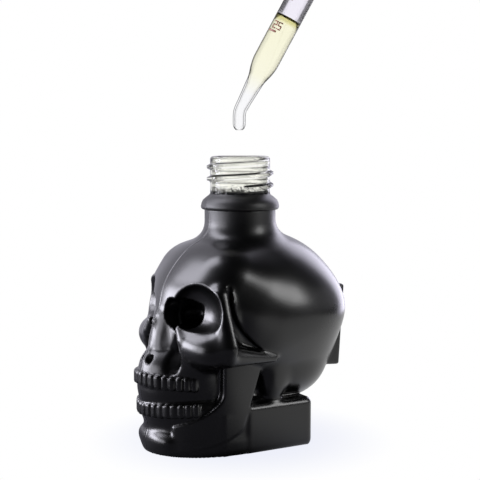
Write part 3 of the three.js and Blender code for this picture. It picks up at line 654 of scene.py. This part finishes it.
def field_surface(field, low, high, cell):
    """Points and quads of a field's surface: one point in each grid cell that it crosses, pulled onto it."""
    axes = [np.arange(a, b + cell, cell) for a, b in zip(low, high)]
    value = np.empty([len(a) for a in axes])
    for i, x in enumerate(axes[0]):
        value[i] = field(x, *np.meshgrid(axes[1], axes[2], indexing="ij"))
    inside = value < 0
    shape = np.array(value.shape)
    step = np.array([shape[1] * shape[2], shape[2], 1])
    owners, places, quads = [], [], []
    # Each grid edge that the surface crosses gives a quad between the four cells round it.
    for axis in range(3):
        first = np.take(inside, range(shape[axis] - 1), axis)
        second = np.take(inside, range(1, shape[axis]), axis)
        at = np.argwhere(first != second)
        others = [d for d in range(3) if d != axis]
        at = at[(at[:, others] > 0).all(1) & (at[:, others] < shape[others] - 1).all(1)]
        flat = at @ step
        a, b = value.ravel()[flat], value.ravel()[flat + step[axis]]
        place = at.astype(float)
        place[:, axis] += a / (a - b)
        u, v = step[others[0]], step[others[1]]
        corners = np.stack([flat - u - v, flat - v, flat, flat - u], 1)
        for c in range(4):
            owners.append(corners[:, c])
            places.append(place)
        flip = (a < 0) == (axis == 1)
        corners[flip] = corners[flip][:, ::-1]
        quads.append(corners)
    cells, which = np.unique(np.concatenate(owners), return_inverse=True)
    count = np.bincount(which)
    places = np.concatenate(places)
    points = np.stack([np.bincount(which, places[:, d]) / count for d in range(3)], 1)
    start = points * cell + np.array([a[0] for a in axes])
    points = start.copy()
    pulls, nudge, least_slope, reach = 4, 0.02, 0.25, 0.6 * cell
    for _ in range(pulls):
        f = field(*points.T)
        slope = np.stack([field(*(points + nudge * np.eye(3)[d]).T) - f for d in range(3)], 1) / nudge
        points -= (f / np.maximum((slope ** 2).sum(1), least_slope))[:, None] * slope
        points = np.clip(points, start - reach, start + reach)
    return points, np.searchsorted(cells, np.concatenate(quads))


# Bottle.
def build_bottle():
    """Lacquered skull and bead, and the clear neck that stands in them."""
    lacquer = satin_black_lacquer()
    glass = flint_glass()
    low, high = (-25, -33, -1), (25, 32, BEAD_BOTTOM_Z + 2)
    points, faces = field_surface(skull_field, low, high, SKULL_CELL)
    skull = piece("lacquered_skull", points, faces, "bottle", "lacquered_glass", lacquer)
    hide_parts("glass_bottle")
    piece("lacquered_bead", *turned(bead_outline(), 128), "bottle", "lacquered_glass", lacquer)
    build_neck(glass)


def bead_outline():
    """Outline of the bead under the thread, from inside the shank round its edges and back."""
    return [
        (SHANK_BORE, BEAD_BOTTOM_Z - 1),
        (SHANK_RADIUS - 0.3, BEAD_BOTTOM_Z - 1),
        (SHANK_RADIUS - 0.3, BEAD_BOTTOM_Z),
        (BEAD_RADIUS - 0.75, BEAD_BOTTOM_Z),
        (BEAD_RADIUS - 0.4, BEAD_BOTTOM_Z + 0.1),
        (BEAD_RADIUS - 0.1, BEAD_BOTTOM_Z + 0.4),
        (BEAD_RADIUS, BEAD_BOTTOM_Z + 0.8),
        (BEAD_RADIUS - 0.2, BEAD_BOTTOM_Z + 1.8),
        (BEAD_RADIUS - 0.6, BEAD_BOTTOM_Z + 2.6),
        (NECK_RADIUS + 0.9, BEAD_TOP_Z - 0.75),
        (NECK_RADIUS + 0.4, BEAD_TOP_Z - 0.4),
        (NECK_RADIUS + 0.12, BEAD_TOP_Z - 0.1),
        (NECK_RADIUS + 0.05, BEAD_TOP_Z),
        (SHANK_BORE, BEAD_TOP_Z),
    ]


def thread_turns(past, up, turns, crest, flank):
    """Rise and end fade of each turn of a screw thread, at angles and a height past its start."""
    fade_over = 0.12
    for turn in range(-1, 3):
        along = past % (2 * np.pi) / (2 * np.pi) + turn
        fade = np.clip(np.minimum(along, turns - along) / fade_over, 0, 1)
        off = np.abs(up - along * THREAD_PITCH)
        yield np.clip(crest - off / flank, 0, 1), fade


def build_neck(glass):
    """Clear neck with its screw thread raised out of the same skin, a rounded rim and a smooth bore."""
    around, ring_step, crest, flank = 192, 0.12, 1.45, 0.62
    low = BEAD_TOP_Z - 3
    heights = np.concatenate([[low], np.arange(BEAD_TOP_Z - 0.2, RIM_Z - 1.0, ring_step)])
    angle = np.linspace(0, 2 * np.pi, around, endpoint=False)
    first_angle = LEAN_HEADING - math.pi / 2 + 0.1
    first_z = BEAD_TOP_Z + 0.16 * (RIM_Z - BEAD_TOP_Z)
    depth = THREAD_RADIUS - NECK_RADIUS
    points = []
    for z in heights:
        radius = np.full(around, float(NECK_RADIUS))
        for rise, fade in thread_turns(angle - first_angle, z - first_z, THREAD_TURNS, crest, flank):
            rise = rise * rise * (3 - 2 * rise)
            radius = np.maximum(radius, NECK_RADIUS + depth * rise * fade ** 0.7)
        points += level_ring(radius, angle, z)
    rim = [
        (NECK_RADIUS, RIM_Z - 0.8),
        (NECK_RADIUS - 0.12, RIM_Z - 0.4),
        (NECK_RADIUS - 0.4, RIM_Z - 0.12),
        (NECK_RADIUS - 0.8, RIM_Z),
        (BORE_RADIUS + 0.7, RIM_Z),
    ]
    bore = [
        (BORE_RADIUS + 0.25, RIM_Z - 0.2),
        (BORE_RADIUS, RIM_Z - 0.7),
        (BORE_RADIUS, BEAD_TOP_Z),
        (BORE_RADIUS + 0.6, low),
    ]
    for radius, z in rim + bore:
        points += level_ring(radius, angle, z)
    skin_rings = len(heights) + len(rim)
    faces = ring_faces(skin_rings + len(bore), around, True)
    neck = piece("clear_neck", points, faces, "bottle", "clear_glass", glass)
    weigh(neck, "dry", [0.0] * skin_rings + [0.65] * len(bore), around)


# Dropper: height above the tip, outer radius and bore radius along the pipette.
PIPETTE_STATIONS = [
    (0, TIP_RADIUS * 0.5, TIP_BORE * 0.7),
    (0.2, TIP_RADIUS * 0.66, TIP_BORE * 0.8),
    (0.55, TIP_RADIUS * 0.84, TIP_BORE * 0.95),
    (1.1, TIP_RADIUS * 0.97, TIP_BORE),
    *((height, TIP_RADIUS, TIP_BORE) for height in (1.6, 3, 4.4)),
    (6, TIP_RADIUS * 1.02, TIP_BORE),
    (9, TIP_RADIUS * 1.14, TIP_BORE * 1.2),
    (12, TIP_RADIUS * 1.28, TIP_BORE * 1.4),
    (14, TUBE_RADIUS * 0.68, TUBE_BORE * 0.58),
    (16.5, TUBE_RADIUS * 0.88, TUBE_BORE * 0.85),
    (18.5, TUBE_RADIUS * 0.98, TUBE_BORE * 0.98),
    *((height, TUBE_RADIUS, TUBE_BORE) for height in (20, 22, 25, 31, 42, 58, 67, 71, 72.4)),
    (PIPETTE_DEPTH + TUBE_ABOVE_SEAT, TUBE_RADIUS - 0.4, TUBE_BORE + 0.2),
]
PIPETTE_AROUND = 64


def pipette_rings(profile):
    """Rings of points, for each height and radius, square to the pipette; its tip bends to hang upright."""
    angle = np.linspace(0, 2 * np.pi, PIPETTE_AROUND, endpoint=False)
    bend = BEND_START - BEND_END
    points = []
    for height, radius in profile:
        share = min(1, max(0, (BEND_START - height) / bend))
        aside = math.tan(LEAN) * (bend * (share ** 3 - share ** 4 / 2) + max(0, BEND_END - height))
        tilt = LEAN * share * share * (3 - 2 * share)
        x, y = radius * np.cos(angle), radius * np.sin(angle)
        points += list(zip(aside + x * math.cos(tilt), y, TIP_Z + height + x * math.sin(tilt)))
    return points


def build_pipette():
    """Glass tube drawn out to a bent tip, and the bitters in it."""
    line = smooth_line(PIPETTE_STATIONS, 5)
    line[:, 1] = np.minimum(line[:, 1], TUBE_RADIUS)
    line[:-1, 2] = np.minimum(line[:-1, 2], TUBE_BORE)
    profile = [(height, outer) for height, outer, _ in line]
    profile += [(height, bore) for height, _, bore in line[::-1]]
    faces = ring_faces(len(profile), PIPETTE_AROUND, True)
    made = piece("pipette_tube", pipette_rings(profile), faces, "dropper", "clear_glass", drawn_glass(), HELD)
    weigh(made, "outside", [1.0] * len(line) + [0.0] * len(line), PIPETTE_AROUND)
    weigh(made, "dry", [0.9 * (height > LIQUID_LEVEL - 1) for height, _ in profile], PIPETTE_AROUND)
    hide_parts("pipette")
    build_bitters(line)


def build_bitters(line):
    """Column of bitters, pressed a little into the glass so that no gap shows, with a hollow top."""
    lowest, hollow, into_glass, middle = 0.02, 1.2, 0.06, 0.01
    wet = line[(line[:, 0] >= lowest) & (line[:, 0] < LIQUID_LEVEL - hollow)]
    profile = [(wet[0, 0], middle)]
    profile += [(height, bore + into_glass) for height, _, bore in wet]
    profile += [
        (LIQUID_LEVEL, TUBE_BORE + into_glass),
        (LIQUID_LEVEL - 0.5, TUBE_BORE * 0.93),
        (LIQUID_LEVEL - 0.9, TUBE_BORE * 0.7),
        (LIQUID_LEVEL - 1.1, TUBE_BORE * 0.35),
        (LIQUID_LEVEL - 1.15, middle),
    ]
    points, faces = pipette_rings(profile), ring_faces(len(profile), PIPETTE_AROUND, True)
    column = piece("bitters_column", points, faces, "dropper", "bitters_liquid", pale_bitters(), HELD)
    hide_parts("pipette_liquid")


def print_on_tube(flat):
    """Flat points (sideways, height, proud) wrapped round the tube's near side."""
    lift = 0.02
    angle = -math.pi / 2 - MARK_TURN + flat[:, 0] / TUBE_RADIUS
    radius = TUBE_RADIUS + lift + flat[:, 2]
    return np.stack([radius * np.cos(angle), radius * np.sin(angle), flat[:, 1]], 1)


def build_marks():
    """Four raised ticks, three with plain figures; the last, level with the collar's edge, is bare."""
    enamel = fired_enamel()
    half, edge, proud, steps = 0.28, 0.05, 0.05, 12
    tick_left, tick_right, figure_left, figure_up = -1.3, 1.1, -0.6, 0.8
    for i, figures in enumerate(("25", "50", "75", "")):
        height = TIP_Z + MARK_FIRST + i * MARK_STEP
        points = []
        for s in np.linspace(tick_left, tick_right, steps + 1):
            points += [(s, height - half, 0), (s, height - half + edge, proud)]
            points += [(s, height + half - edge, proud), (s, height + half, 0)]
        faces = ring_faces(steps + 1, 4, False)
        for block, sides in figure_blocks(figures, proud):
            base = len(points)
            points += [(s + figure_left, height + figure_up + h, q) for s, h, q in block]
            faces += [tuple(base + v for v in f) for f in sides]
        made = piece(f"enamel_mark_{i + 1}", print_on_tube(np.array(points)), faces,
                     "dropper", "enamel_print", enamel, HELD)
        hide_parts(f"mark_{i + 1}")


# Strokes of plain figures on a grid 2 wide and 4 high.
FIGURES = {
    "0": [((0, 0), (0, 4)), ((0, 4), (2, 4)), ((2, 4), (2, 0)), ((2, 0), (0, 0))],
    "2": [((0, 4), (2, 4)), ((2, 4), (2, 2)), ((2, 2), (0, 2)), ((0, 2), (0, 0)), ((0, 0), (2, 0))],
    "5": [((2, 4), (0, 4)), ((0, 4), (0, 2)), ((0, 2), (2, 2)), ((2, 2), (2, 0)), ((2, 0), (0, 0))],
    "7": [((0, 4), (2, 4)), ((2, 4), (0.8, 0))],
}


def figure_blocks(figures, proud):
    """Each stroke of a number as a thin raised block, with its faces."""
    unit, half, advance = 0.46, 0.15, 3.1
    blocks = []
    for place, figure in enumerate(figures):
        for (x0, z0), (x1, z1) in FIGURES[figure]:
            a = np.array((x0 + advance * place, z0)) * unit
            b = np.array((x1 + advance * place, z1)) * unit
            d = (b - a) / np.linalg.norm(b - a)
            side = np.array((-d[1], d[0])) * half
            a, b = a - d * half, b + d * half
            ring = [a - side, b - side, b + side, a + side]
            corners = [(s, h, q) for q in (0.0, proud) for s, h in ring]
            blocks.append((corners, ring_faces(2, 4, False)))
    return blocks


def build_collar():
    """Ribbed screw collar: skirt with a thread inside, and a rounded top with a hole for the bulb."""
    ribs, per_rib, ring_step = 60, 8, 0.25
    turns, crest, flank, thread_up = 1.5, 1.4, 0.5, 1.5
    around = ribs * per_rib
    angle = np.linspace(0, 2 * np.pi, around, endpoint=False)
    rib = 0.5 + 0.5 * np.cos(ribs * angle)
    inner = THREAD_RADIUS + 1
    hole = BULB_RADIUS - 1.7
    # Radius, height and depth of the ribs, up the outside, over the top and in under the roof.
    outline = [
        (COLLAR_RADIUS - 0.65, -COLLAR_SKIRT, 0),
        (COLLAR_RADIUS - 0.45, -COLLAR_SKIRT + 0.15, 0),
        (COLLAR_RADIUS - 0.4, -COLLAR_SKIRT + 0.6, 0.2),
        (COLLAR_RADIUS - 0.4, -COLLAR_SKIRT + 1, 0.4),
        (COLLAR_RADIUS - 0.4, COLLAR_TOP - 1.9, 0.4),
        (COLLAR_RADIUS - 0.42, COLLAR_TOP - 1.4, 0.2),
        (COLLAR_RADIUS - 0.55, COLLAR_TOP - 0.9, 0),
        (COLLAR_RADIUS - 0.85, COLLAR_TOP - 0.4, 0),
        (COLLAR_RADIUS - 1.3, COLLAR_TOP - 0.08, 0),
        (COLLAR_RADIUS - 1.7, COLLAR_TOP, 0),
        (hole + 0.4, COLLAR_TOP, 0),
        (hole + 0.1, COLLAR_TOP - 0.1, 0),
        (hole, COLLAR_TOP - 0.4, 0),
        (hole, COLLAR_TOP - COLLAR_ROOF, 0),
        (inner, COLLAR_TOP - COLLAR_ROOF, 0),
    ]
    points = []
    for radius, z, depth in outline:
        points += level_ring(radius + depth * rib, angle, z)
    heights = np.arange(COLLAR_TOP - 2.2, -COLLAR_SKIRT + 0.5, -ring_step)
    depth = inner - THREAD_RADIUS - 0.45
    for z in heights:
        radius = np.full(around, inner)
        for rise, fade in thread_turns(angle, z + COLLAR_SKIRT - thread_up, turns, crest, flank):
            radius = np.minimum(radius, inner - depth * (rise * fade))
        points += level_ring(radius, angle, z)
    points += level_ring(inner + 0.2, angle, -COLLAR_SKIRT)
    rings = len(outline) + len(heights) + 1
    made = piece("ribbed_collar", points, ring_faces(rings, around, True),
                 "collar", "collar_plastic", moulded_polypropylene(), HELD)
    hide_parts("collar")


def build_bulb():
    """Rubber bulb: flange under the collar, waist, body with moulded grip rings, rounded crown."""
    top, gap, middle = BULB_TOP, 0.3, 0.02
    hole, neck = TUBE_RADIUS + gap, BULB_RADIUS - 2.0
    under = COLLAR_TOP - COLLAR_ROOF - gap
    flange = [
        (hole, gap),
        (NECK_RADIUS - 0.6, gap),
        (NECK_RADIUS - 0.4, gap + 0.2),
        (NECK_RADIUS - 0.4, under - 0.2),
        (NECK_RADIUS - 0.6, under),
        (neck, under),
    ]
    outside = smooth_line([
        (neck, under + 0.05),
        (neck, COLLAR_TOP + 0.8),
        (BULB_RADIUS - 0.7, COLLAR_TOP + 3.6),
        (BULB_RADIUS, COLLAR_TOP + 10),
        (BULB_RADIUS - 0.2, top - 20),
        (BULB_RADIUS - 0.6, top - 13),
        (BULB_RADIUS - 1.7, top - 6),
        (BULB_RADIUS - 3.6, top - 2),
        (BULB_RADIUS - 5.8, top - 0.5),
        (middle, top),
    ], 8)
    grips, grip_up, grip_pitch, grip_proud, grip_half = 5, 9, 1.6, 0.16, 0.35
    for k in range(grips):
        z = COLLAR_TOP + grip_up + grip_pitch * k
        outside[:, 0] += grip_proud * np.exp(-((outside[:, 1] - z) / grip_half) ** 2)
    inside = smooth_line([
        (middle, top - BULB_WALL),
        (BULB_RADIUS - 6.2, top - BULB_WALL - 0.4),
        (BULB_RADIUS - 4.6, top - BULB_WALL - 2.6),
        (BULB_RADIUS - 3, top - 8),
        (BULB_RADIUS - BULB_WALL - 0.5, top - 15),
        (BULB_RADIUS - BULB_WALL, COLLAR_TOP + 11),
        (BULB_RADIUS - BULB_WALL - 0.7, COLLAR_TOP + 6),
        (hole, COLLAR_TOP + 4),
    ], 4)
    profile = flange + [tuple(p) for p in outside] + [tuple(p) for p in inside]
    points, faces = turned(profile, 96)
    made = loose_piece("rubber_bulb", points, faces, moulded_rubber(), HELD)
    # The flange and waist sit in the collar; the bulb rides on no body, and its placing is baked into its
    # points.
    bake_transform(made)
    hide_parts("bulb")


build_bottle()
build_pipette()
build_marks()
build_collar()
build_bulb()


# Stage: pale floor, soft studio light and the photograph's camera.
def build_floor():
    """Pale sheet: white to the camera, with a painted pool of cool shade by the foot where a little of its
    real shadow shows, grey to bounced light.
    """
    side, near, far = 0.2, 18, 42
    gloss_front, gloss_back = -10, 22
    mesh = bpy.data.meshes.new("pale_floor")
    corners = [(-side, -side, 0), (side, -side, 0), (side, side, 0), (-side, side, 0)]
    mesh.from_pydata(corners, [], [(0, 1, 2, 3)])
    floor = bpy.data.objects.new("pale_floor", mesh)
    bpy.context.scene.collection.objects.link(floor)
    material, tree, output, mm = new_material("matt_white_paper_sweep")
    shade = add(tree, "ShaderNodeBsdfDiffuse", {"Color": linear("#5e5e62")})
    ray = add(tree, "ShaderNodeLightPath")
    away = add(tree, "ShaderNodeVectorMath", {0: mm}, operation="LENGTH")
    # Painted shade: the white is tinted cool close to the foot and fades to plain white farther out.
    painted_shade_fade = add(tree, "ShaderNodeMapRange", {
        "Value": away.outputs["Value"], "From Min": near, "From Max": far,
    })
    tint = add(tree, "ShaderNodeMix", {
        "Factor": painted_shade_fade.outputs["Result"], "A": linear("#f3f5ff"), "B": linear("#ffffff"),
    }, data_type="RGBA")
    white = add(tree, "ShaderNodeEmission", {"Color": tint.outputs["Result"], "Strength": 1})
    sides = add(tree, "ShaderNodeSeparateXYZ", {0: mm})
    # Painted shade as well: a little less white close to the foot, where the diffuse sheet with its real
    # shadow shows through.
    to_eye = add(tree, "ShaderNodeMapRange", {
        "Value": away.outputs["Value"], "From Min": near, "From Max": far, "To Min": 0.95, "To Max": 1,
    }, interpolation_type="SMOOTHSTEP")
    # Only the part behind the bottle is white in its reflections and through its glass.
    to_gloss = add(tree, "ShaderNodeMapRange", {
        "Value": sides.outputs["Y"],
        "From Min": gloss_front, "From Max": gloss_back,
        "To Min": 0, "To Max": 1,
    }, interpolation_type="SMOOTHSTEP")
    gloss = add(tree, "ShaderNodeMath", {
        0: ray.outputs["Is Glossy Ray"], 1: ray.outputs["Is Transmission Ray"],
    }, operation="MAXIMUM")
    in_gloss = add(tree, "ShaderNodeMath", {
        0: gloss.outputs[0], 1: to_gloss.outputs["Result"],
    }, operation="MULTIPLY")
    in_eye = add(tree, "ShaderNodeMath", {
        0: ray.outputs["Is Camera Ray"], 1: to_eye.outputs["Result"],
    }, operation="MULTIPLY")
    share = add(tree, "ShaderNodeMath", {0: in_eye.outputs[0], 1: in_gloss.outputs[0]}, operation="MAXIMUM")
    mix = add(tree, "ShaderNodeMixShader", {0: share.outputs[0], 1: shade.outputs[0], 2: white.outputs[0]})
    tree.links.new(mix.outputs[0], output.inputs["Surface"])
    mesh.materials.append(material)


def build_world():
    """White backdrop behind the bottle, dim studio on the camera's side; white to the camera all round."""
    to_backdrop, through_glass = (-0.966, 0.259, 0.0), (-0.766, 0.643, 0.0)
    world = bpy.data.worlds.new("studio")
    bpy.context.scene.world = world
    world.use_nodes = True
    tree = world.node_tree
    tree.nodes.clear()
    way = add(tree, "ShaderNodeTexCoord").outputs["Generated"]
    behind = add(tree, "ShaderNodeVectorMath", {0: way, 1: to_backdrop}, operation="DOT_PRODUCT")
    share = add(tree, "ShaderNodeMapRange", {
        "Value": behind.outputs["Value"], "From Min": 0.22, "From Max": 0.5, "To Min": 0.015, "To Max": 1,
    }, interpolation_type="SMOOTHSTEP")
    backdrop = add(tree, "ShaderNodeBackground", {
        "Color": linear("#f3f1ff"), "Strength": share.outputs["Result"],
    })
    # Through glass it is white behind the bottle and before it, and dim to either side.
    beyond = add(tree, "ShaderNodeVectorMath", {0: way, 1: through_glass}, operation="DOT_PRODUCT")
    either = add(tree, "ShaderNodeMath", {0: beyond.outputs["Value"]}, operation="ABSOLUTE")
    through = add(tree, "ShaderNodeMapRange", {
        "Value": either.outputs[0], "From Min": -0.2, "From Max": 0.5, "To Min": 0.05, "To Max": 1,
    }, interpolation_type="SMOOTHSTEP")
    in_glass = add(tree, "ShaderNodeBackground", {
        "Color": linear("#ffffff"), "Strength": through.outputs["Result"],
    })
    plain = add(tree, "ShaderNodeBackground", {"Color": linear("#ffffff"), "Strength": 1})
    ray = add(tree, "ShaderNodeLightPath")
    mix = add(tree, "ShaderNodeMixShader", {
        0: ray.outputs["Is Transmission Ray"], 1: backdrop.outputs[0], 2: in_glass.outputs[0],
    })
    mix = add(tree, "ShaderNodeMixShader", {
        0: ray.outputs["Is Camera Ray"], 1: mix.outputs[0], 2: plain.outputs[0],
    })
    tree.links.new(mix.outputs[0], add(tree, "ShaderNodeOutputWorld").inputs["Surface"])


def softbox(name, place, aim, width, height, power, colour):
    """A rectangular lamp that clear glass does not show; place and aim in millimetres."""
    lamp = bpy.data.lights.new(name, "AREA")
    lamp.shape = "RECTANGLE"
    lamp.size, lamp.size_y = width * MM, height * MM
    lamp.energy = power
    lamp.color = linear(colour)[:3]
    made = bpy.data.objects.new(name, lamp)
    made.location = Vector(place) * MM
    made.rotation_euler = (Vector(aim) - Vector(place)).to_track_quat("-Z", "Y").to_euler()
    made.visible_transmission = False
    bpy.context.scene.collection.objects.link(made)


def build_lights():
    """Key high on the left with two low fills, a softbox and a card on the right, a rim light behind."""
    softbox("key_softbox", (-188, -278, 396), (0, -10, 45), 240, 420, 3.0, "#f4f3ff")
    softbox("fill_card", (-60, -446, 70), (0, -10, 30), 300, 260, 1.5, "#f6f5ff")
    softbox("low_softbox", (-260, -370, 95), (0, -20, 15), 220, 160, 2.0, "#f4f3ff")
    softbox("side_softbox", (390, 260, 220), (0, 0, 40), 170, 200, 0.9, "#ffffff")
    softbox("side_card", (210, 364, 110), (0, 0, 40), 420, 200, 0.14, "#fbfaff")
    softbox("rim_softbox", (-190, 470, 170), (0, 0, 45), 260, 620, 2.0, "#f0edff")


def build_camera():
    """The photograph's camera, as fitted when the part's sizes were measured."""
    place, aim = Vector((259.8, -150.0, 81.9)) * MM, Vector((0, 0, 54.1)) * MM
    lens = bpy.data.cameras.new("photo_camera")
    lens.sensor_width = 36
    lens.lens = 84.15
    lens.clip_start = 0.01
    lens.clip_end = 20
    camera = bpy.data.objects.new("photo_camera", lens)
    camera.location = place
    camera.rotation_euler = (aim - place).to_track_quat("-Z", "Y").to_euler()
    bpy.context.scene.collection.objects.link(camera)
    bpy.context.scene.camera = camera


build_floor()
build_world()
build_lights()
build_camera()
bpy.context.scene.view_settings.view_transform = "Standard"
